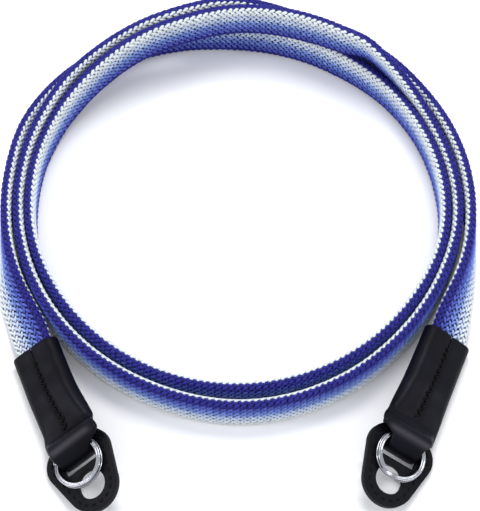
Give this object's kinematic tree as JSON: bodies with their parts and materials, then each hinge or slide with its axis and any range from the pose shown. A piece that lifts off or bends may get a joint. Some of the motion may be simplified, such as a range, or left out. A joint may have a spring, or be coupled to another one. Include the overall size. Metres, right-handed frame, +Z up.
{
  "type": "camera neck strap",
  "caption": "Flat knitted neck strap coiled on its edge, each end sewn into a leather sheath that holds a split ring and a leather lug protector.",
  "frame": {"origin": "middle of the footprint, on the floor that the coil stands on", "axes": "+Z up; -Y towards the two leather ends; +X to the right as seen from the ends"},
  "size_m": [0.1406, 0.1616, 0.0266],
  "materials": {
    "knit": "matt knit in stripes that fade from navy through cornflower blue to white",
    "sheath_leather": "smooth black leather, satin",
    "protector_leather": "smooth black leather, satin, with a sewn rim",
    "ring_steel": "polished spring steel"
  },
  "bodies": {
    "root": {"strap_band": "knit", "end_sheath_left": "sheath_leather", "end_sheath_right": "sheath_leather", "lug_protector_left": "protector_leather", "lug_protector_right": "protector_leather", "split_ring_left": "ring_steel", "split_ring_right": "ring_steel"}
  },
  "joints": []
}
